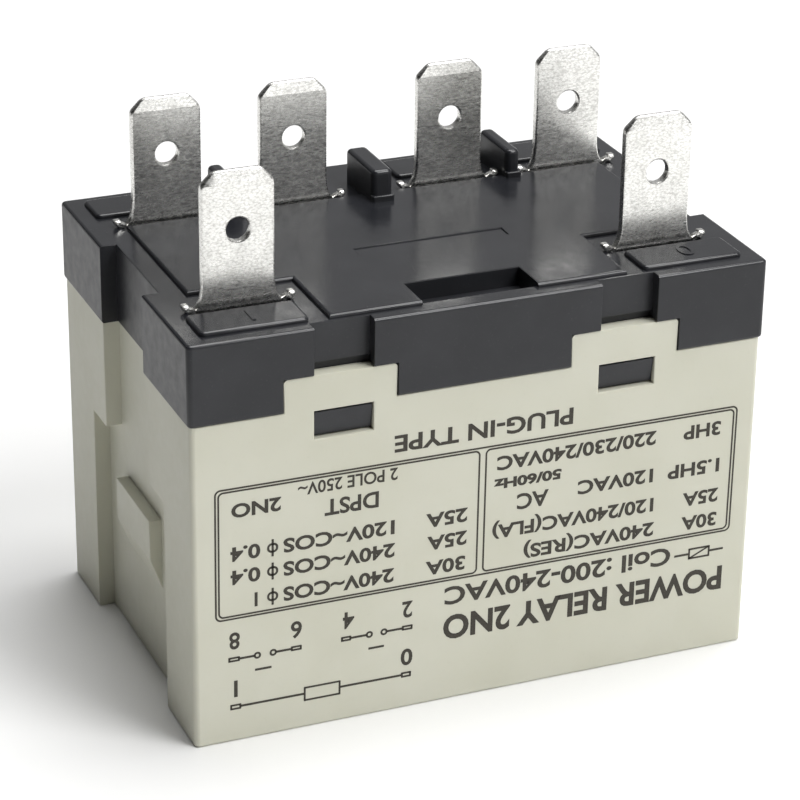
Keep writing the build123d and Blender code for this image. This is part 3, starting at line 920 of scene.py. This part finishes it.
def printedWords(words, start, stop, baseline, height, weight):
    # drawn upside down on the label face, like the rest of the print
    made = flatText(words, height, weight, "LEFT", baseline=True)
    left = min(v.co.x for v in made.verts)
    wide = max(v.co.x for v in made.verts) - left
    move(made, (-left, 0, 0))
    stretch(made, ((start - stop) / wide, 1, 1))
    move(made, (-start, -baseline, 0))
    return made


def printedSquare(wide, high):
    made = bmesh.new()
    bmesh.ops.create_grid(made, x_segments=1, y_segments=1, size=0.5)
    stretch(made, (wide, high, 1))
    return made


def printedOutline(x, z, corner, line):
    made = printedSquare(x[1] - x[0], z[1] - z[0])
    bmesh.ops.bevel(made, geom=made.verts[:], offset=corner, offset_type="OFFSET", segments=8,
                    profile=0.5, affect="VERTICES", clamp_overlap=True, material=-1)
    inner = made.faces[:]
    bmesh.ops.inset_region(made, faces=inner, thickness=line, use_even_offset=True,
                           use_boundary=True)
    bmesh.ops.delete(made, geom=inner, context="FACES")
    move(made, (-(x[0] + x[1]) / 2, -(z[0] + z[1]) / 2, 0))
    return made


def printedBar(x, z, line):
    made = printedSquare(x[1] - x[0], line)
    move(made, (-(x[0] + x[1]) / 2, -z, 0))
    return made


def printedSigns(s):
    # frames and the wiring diagram
    line, size = s["line"], s["ringSize"]
    flat = [printedOutline(x, z, corner, line) for x, z, corner in s["frames"]]
    flat += [printedOutline(x, z, s["boxCorner"], line + 0.02) for x, z in s["boxes"]]
    for x, z in s["rings"]:
        flat.append(printedOutline(around(x, size), around(z, size), size - 0.01, line + 0.03))
    flat += [printedBar(x, z, line + 0.05) for x, z in s["bars"]]
    for x, z in s["phases"]:
        for (wide, high, thick), corner in ((s["phaseRing"], 0.42), (s["phaseStroke"], 0.01)):
            flat.append(printedOutline(around(x, wide), around(z, high), corner, thick))
    x, z, length, slant = s["slash"]
    slash = printedBar(around(0, length / 2), 0, line)
    turnOver(slash, slant, "Z")
    move(slash, (x, z, 0))
    return flat + [slash]


def makeLabel(s, words):
    label = bmesh.new()
    for made in [printedWords(*row) for row in words] + printedSigns(s):
        label = pour(thicken(made, s["proud"] + s["sunk"]), label)
    turn = Matrix(((-1, 0, 0), (0, 0, -1), (0, -1, 0)))      # stands it on the face, feet up
    turn = Matrix.Rotation(math.radians(s["tilt"]), 3, "Y") @ turn
    bmesh.ops.rotate(label, cent=(0, 0, 0), matrix=turn, verts=label.verts)
    low = min(v.co.y for v in label.verts)
    move(label, (0, s["face"] - s["proud"] - low, 0))
    return label


makePiece("label_print", makeLabel(labelPrint, printWords), [ink], "root")


print("inner parts")
innerFinish = {
    "silver": {"colour": (0.86, 0.85, 0.82), "dull": (0.70, 0.69, 0.66), "pit": (0.40, 0.38, 0.35),
               "rough": (0.28, 0.48), "wave": 8, "grain": 5},
    "copper": {"colour": (0.74, 0.36, 0.20), "dull": (0.58, 0.27, 0.15), "pit": (0.30, 0.13, 0.07),
               "rough": (0.22, 0.42), "wave": 6, "grain": 4},
    "iron": {"colour": (0.55, 0.54, 0.52), "dull": (0.45, 0.44, 0.42), "pit": (0.25, 0.24, 0.23),
             "rough": (0.30, 0.50), "wave": 8, "grain": 6},
    "wire": {"colour": (0.60, 0.60, 0.60), "dull": (0.50, 0.50, 0.50), "pit": (0.30, 0.30, 0.30),
             "rough": (0.20, 0.36), "wave": 3, "grain": 3},
    "brass": {"colour": (0.72, 0.60, 0.34), "dull": (0.60, 0.49, 0.27), "pit": (0.32, 0.26, 0.14),
              "rough": (0.24, 0.42), "wave": 5, "grain": 4},
    "carrier": {"colour": (0.66, 0.64, 0.57), "tint": (0.61, 0.59, 0.51),
                "speck": (0.40, 0.38, 0.33), "rough": (0.40, 0.56)},
    "bobbin": {"colour": (0.022, 0.022, 0.025), "tint": (0.034, 0.034, 0.037),
               "speck": (0.10, 0.10, 0.11), "rough": (0.34, 0.52)},
    "tape": {"colour": (0.62, 0.44, 0.09), "tint": (0.55, 0.37, 0.06),
             "speck": (0.70, 0.56, 0.20), "rough": (0.22, 0.40)},
    # pitch of the turns in mm, how much they wander, their height in microns and their slant; the
    # groove colour is painted shade in the creases between turns
    "enamel": {"colour": (0.62, 0.24, 0.09), "groove": (0.14, 0.045, 0.02),
               "tint": (0.48, 0.17, 0.06), "rough": (0.18, 0.34), "metal": 0.8,
               "pitch": 0.14, "wander": 0.25, "height": 30, "turn": (0, 0, 0)},
    "sleeve": {"colour": (0.42, 0.035, 0.028), "groove": (0.16, 0.012, 0.010),
               "tint": (0.52, 0.07, 0.05), "rough": (0.50, 0.68), "metal": 0.0,
               "pitch": 0.30, "wander": 0.8, "height": 35, "turn": (0.0, 0.6, 0.7)},
}
innerMetals = {name: makeMetal(name + " metal", innerFinish[name])
               for name in ("silver", "copper", "iron", "wire", "brass")}
innerPlastics = {name: makeMoulded(name + " plastic", innerFinish[name])
                 for name in ("carrier", "bobbin", "tape")}
innerLooks = {
    "fixed_contacts": innerMetals["silver"],
    "moving_contacts_left": innerMetals["silver"],
    "moving_contacts_right": innerMetals["silver"],
    "bridge_bar_left": innerMetals["copper"],
    "bridge_bar_right": innerMetals["copper"],
    "shading_ring": innerMetals["copper"],
    "core": innerMetals["iron"],
    "yoke": innerMetals["iron"],
    "armature": innerMetals["iron"],
    "coil_pins": innerMetals["brass"],
    "contact_carrier": innerPlastics["carrier"],
    "bobbin": innerPlastics["bobbin"],
    "coil_tape": innerPlastics["tape"],
    "winding": makeWound("enamelled winding", innerFinish["enamel"]),
    "coil_lead_1": makeWound("lead sleeve", innerFinish["sleeve"]),
}
innerLooks["coil_lead_0"] = innerLooks["coil_lead_1"]
for name, look in innerLooks.items():
    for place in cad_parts[name].material_slots:
        place.material = look


print("springs")
springShape = {"steps": 28, "sides": 10}    # sections in one turn, and sides of the wire
# node, body, joint that presses it, wire radius, mean radius, turns, the end that stays,
# and the share of its length that it keeps
springRows = [
    ("return_spring", "root", "carrier_lift", 0.225, 2.3, 7, "top", 0.661),
    ("contact_spring_left", "carrier", "bridge_left_overtravel", 0.2, 1.75, 4, "foot", 0.8),
    ("contact_spring_right", "carrier", "bridge_right_overtravel", 0.2, 1.75, 4, "foot", 0.8),
]


def makeSpring(node, wire, radius, turns):
    low, high = mmBox(node)
    spring = bmesh.new()
    bmesh.ops.create_circle(spring, cap_ends=True, radius=wire, segments=springShape["sides"])
    turnOver(spring, 90, "X")
    move(spring, (radius, 0, wire))
    steps = round(turns * springShape["steps"])
    climb = (high.z - low.z - 2 * wire) / steps
    section = spring.verts[:] + spring.edges[:] + spring.faces[:]
    bmesh.ops.spin(spring, geom=section, cent=(0, 0, 0), axis=(0, 0, 1), dvec=(0, 0, climb),
                   angle=turns * 2 * math.pi, steps=steps, use_merge=False)
    bmesh.ops.recalc_face_normals(spring, faces=spring.faces)
    middle = (low + high) / 2
    move(spring, (middle.x, middle.y, low.z))
    return spring


for node, body, joint, wire, radius, turns, end, keep in springRows:
    coil = makeSpring(node, wire, radius, turns)
    spring = makePiece(node + "_coil", coil, [innerMetals["wire"]], body)
    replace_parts(spring, node)
    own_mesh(spring)


print("floor, light and camera")
studio = {
    "floor": (0.87, 0.87, 0.865),
    "floorHalf": 4.0,
    "skyToward": (0.80, 0.35, 0.48),     # the bright side of the sky
    "skySpread": (-0.10, 0.90),
    "sky": (0.03, 0.50),                 # dim and bright end
    "lampAim": (0, 0, 0.02),
    "key": ((0.42, -0.54, 0.70), 0.50, 5.6),     # place, size and power of each lamp
    "top": ((0.16, 0.06, 0.85), 0.60, 6.2),
    "card": ((0.35, -1.0, 0.08), 0.50, 0.9),
    "cameraAim": (2.69, 7.53, 17.30),    # mm, the point at the middle of the view
    "azimuth": -22.785,
    "elevation": 24.777,
    "roll": 0.763,
    "distance": 285.9,                   # mm
    "lens": 138.17,
    "clip": (0.01, 10),
}


def softLight(name, spot, size, power):
    data = bpy.data.lights.new(name, "AREA")
    data.shape = "DISK"
    data.size = size
    data.energy = power
    lamp = bpy.data.objects.new(name, data)
    bpy.context.scene.collection.objects.link(lamp)
    lamp.location = spot
    lamp.rotation_mode = "QUATERNION"
    back = Vector(spot) - Vector(studio["lampAim"])
    lamp.rotation_quaternion = back.to_track_quat("Z", "Y")


def makeFloor(values):
    made = bmesh.new()
    bmesh.ops.create_grid(made, x_segments=1, y_segments=1, size=values["floorHalf"])
    mesh = bpy.data.meshes.new("floor")
    made.to_mesh(mesh)
    made.free()
    f = Finish("pale floor", values["floor"], 0.6)
    f.addBump(f.noise(1.5), 4, 0.2)
    mesh.materials.append(f.material)
    floor = bpy.data.objects.new("floor", mesh)
    bpy.context.scene.collection.objects.link(floor)


def makeWorld(values):
    # a studio tent, bright above and on the right, dim on the left
    world = bpy.data.worlds.new("studio")
    bpy.context.scene.world = world
    world.use_nodes = True
    nodes, links = world.node_tree.nodes, world.node_tree.links
    sky = nodes["Background"]
    sky.inputs["Color"].default_value = (1.0, 1.0, 1.0, 1)
    toward = nodes.new("ShaderNodeVectorMath")
    toward.operation = "DOT_PRODUCT"
    toward.inputs[1].default_value = values["skyToward"]
    links.new(nodes.new("ShaderNodeTexCoord").outputs["Object"], toward.inputs[0])
    glow = nodes.new("ShaderNodeMapRange")
    spread = (*values["skySpread"], *values["sky"])
    for name, number in zip(("From Min", "From Max", "To Min", "To Max"), spread):
        glow.inputs[name].default_value = number
    links.new(toward.outputs["Value"], glow.inputs["Value"])
    links.new(glow.outputs["Result"], sky.inputs["Strength"])
    bpy.context.scene.view_settings.view_transform = "Standard"


def placeCamera(values):
    a, e = math.radians(values["azimuth"]), math.radians(values["elevation"])
    back = Vector((math.sin(a) * math.cos(e), -math.cos(a) * math.cos(e), math.sin(e)))
    data = bpy.data.cameras.new("camera")
    camera = bpy.data.objects.new("camera", data)
    bpy.context.scene.collection.objects.link(camera)
    data.lens = values["lens"]
    data.clip_start, data.clip_end = values["clip"]
    roll = Matrix.Rotation(math.radians(values["roll"]), 3, "Z").to_quaternion()
    camera.rotation_mode = "QUATERNION"
    camera.rotation_quaternion = (-back).to_track_quat("-Z", "Y") @ roll
    camera.location = (Vector(values["cameraAim"]) + back * values["distance"]) * mm
    bpy.context.scene.camera = camera


makeFloor(studio)
makeWorld(studio)
for name in ("key", "top", "card"):
    softLight(name, *studio[name])
placeCamera(studio)
